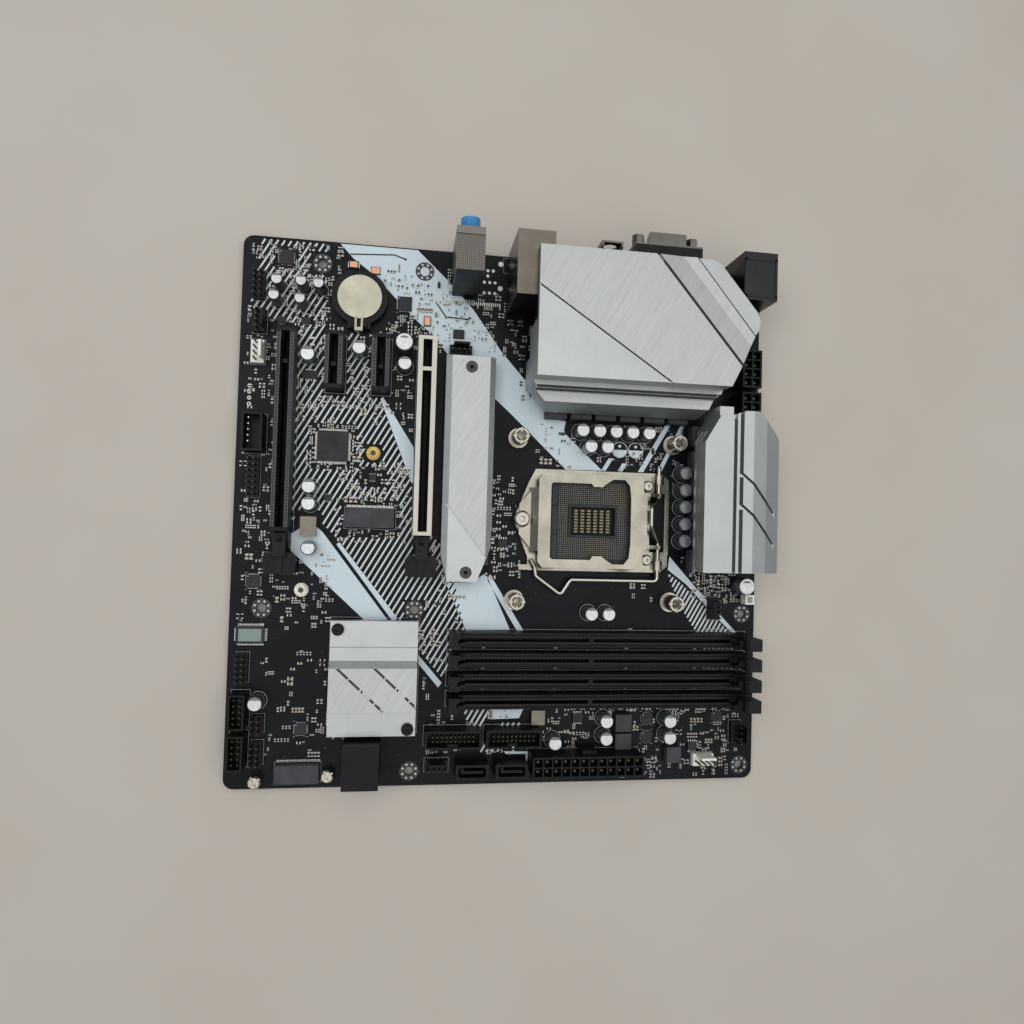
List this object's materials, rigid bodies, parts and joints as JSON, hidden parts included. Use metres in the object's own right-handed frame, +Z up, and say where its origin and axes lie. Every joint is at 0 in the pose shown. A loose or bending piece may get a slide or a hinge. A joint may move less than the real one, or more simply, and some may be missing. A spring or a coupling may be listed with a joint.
{
  "type": "desktop computer motherboard",
  "caption": "Micro-ATX desktop motherboard with finned heatsinks, a lever-operated processor socket, memory slots with ejector latches, expansion slots and rear connectors.",
  "frame": {"origin": "on the axis of the second mounting hole along the rear edge, at the board's underside", "axes": "+X towards the processor power side, +Y towards the rear connectors, +Z up from the component side"},
  "size_m": [0.2438, 0.2501, 0.0396],
  "materials": {
    "board_mask": "glossy solder mask",
    "solder": "bright solder",
    "black_plastic": "moulded, fine grain",
    "plated_steel": "nickel plated",
    "dark_steel": "dark plated sheet",
    "black_screw": "black oxide",
    "silver_aluminium": "satin and brushed",
    "gold_contacts": "gold flash",
    "gold_posts": "machined",
    "ceramic": "ceramic",
    "choke_grey": "pressed powder",
    "chip_epoxy": "moulded epoxy",
    "inductor_metal": "satin",
    "thermal_pad": "soft pad",
    "can_aluminium": "satin can",
    "cell_steel": "brushed",
    "blue_plastic": "moulded",
    "white_plastic": "moulded",
    "shield_metal": "warm nickel"
  },
  "bodies": {
    "board": {"antenna_bracket": "shield_metal", "audio_capacitors": "can_aluminium", "audio_jack_body": "black_plastic", "audio_jack_collars": "blue_plastic", "audio_jack_shield": "shield_metal", "battery_cell": "cell_steel", "battery_clip": "plated_steel", "battery_holder": "black_plastic", "black_headers": "black_plastic", "board_posts": "gold_posts", "card_sockets": "black_plastic", "chips": "chip_epoxy", "chipset_heatsink": "silver_aluminium", "chipset_push_pins": "black_plastic", "circuit_board": "board_mask", "connector_pins": "gold_contacts", "cooler_backplate": "black_plastic", "cooler_standoffs": "plated_steel", "cpu_backplate": "dark_steel", "cpu_frame_screws": "plated_steel", "cpu_load_frame": "plated_steel", "cpu_socket_body": "black_plastic", "cpu_socket_capacitors": "ceramic", "cpu_socket_contacts": "gold_contacts", "display_connectors": "plated_steel", "display_housing": "black_plastic", "drive_heatsink": "silver_aluminium", "drive_ports": "black_plastic", "graphics_slot": "black_plastic", "graphics_slot_armor": "plated_steel", "heatsink_screws": "black_screw", "keyboard_usb_shell": "dark_steel", "lan_usb_shell": "shield_metal", "lower_slot": "black_plastic", "main_heatsink": "silver_aluminium", "main_heatsink_cover": "silver_aluminium", "memory_slot_1": "black_plastic", "memory_slot_2": "black_plastic", "memory_slot_3": "black_plastic", "memory_slot_4": "black_plastic", "metal_inductors": "inductor_metal", "polymer_capacitors": "can_aluminium", "power_chokes": "choke_grey", "power_connectors": "black_plastic", "power_stages": "chip_epoxy", "rear_port_inserts": "black_plastic", "short_slots": "black_plastic", "side_heatsink": "silver_aluminium", "solder_joints": "solder", "thermal_pads": "thermal_pad", "usb_stack_shell": "shield_metal", "white_headers": "white_plastic"},
    "lever": {"cpu_load_lever": "plated_steel"},
    "load_plate": {"cpu_load_plate": "plated_steel"},
    "graphics_latch": {"graphics_slot_latch": "black_plastic"},
    "lower_latch": {"lower_slot_latch": "black_plastic"},
    "memory_latch_1": {"memory_latch_1": "black_plastic"},
    "memory_latch_2": {"memory_latch_2": "black_plastic"},
    "memory_latch_3": {"memory_latch_3": "black_plastic"},
    "memory_latch_4": {"memory_latch_4": "black_plastic"}
  },
  "joints": [
    {"name": "load_lever", "type": "hinge", "parent": "board", "child": "lever", "pos_m": [0.11299, -0.11168, 0.00497], "axis": [0, 1, 0], "range_deg": [0, 130]},
    {"name": "load_plate", "type": "hinge", "parent": "board", "child": "load_plate", "pos_m": [0.11299, -0.11168, 0.00497], "axis": [0, 1, 0], "range_deg": [0, 101.5]},
    {"name": "memory_latch_1", "type": "hinge", "parent": "board", "child": "memory_latch_1", "pos_m": [0.15599, -0.16698, 0.00557], "axis": [0, 1, 0], "range_deg": [0, 30]},
    {"name": "memory_latch_2", "type": "hinge", "parent": "board", "child": "memory_latch_2", "pos_m": [0.15599, -0.17628, 0.00557], "axis": [0, 1, 0], "range_deg": [0, 30]},
    {"name": "memory_latch_3", "type": "hinge", "parent": "board", "child": "memory_latch_3", "pos_m": [0.15599, -0.18558, 0.00557], "axis": [0, 1, 0], "range_deg": [0, 30]},
    {"name": "memory_latch_4", "type": "hinge", "parent": "board", "child": "memory_latch_4", "pos_m": [0.15599, -0.19488, 0.00557], "axis": [0, 1, 0], "range_deg": [0, 30]},
    {"name": "graphics_latch", "type": "hinge", "parent": "board", "child": "graphics_latch", "pos_m": [0.00219, -0.12568, 0.00617], "axis": [1, 0, 0], "range_deg": [0, 16]},
    {"name": "lower_latch", "type": "hinge", "parent": "board", "child": "lower_latch", "pos_m": [-0.05877, -0.12568, 0.00617], "axis": [1, 0, 0], "range_deg": [0, 16]}
  ],
  "couplings": [
    {"joint": "load_plate", "follows": "load_lever", "ratio": 0.78}
  ]
}
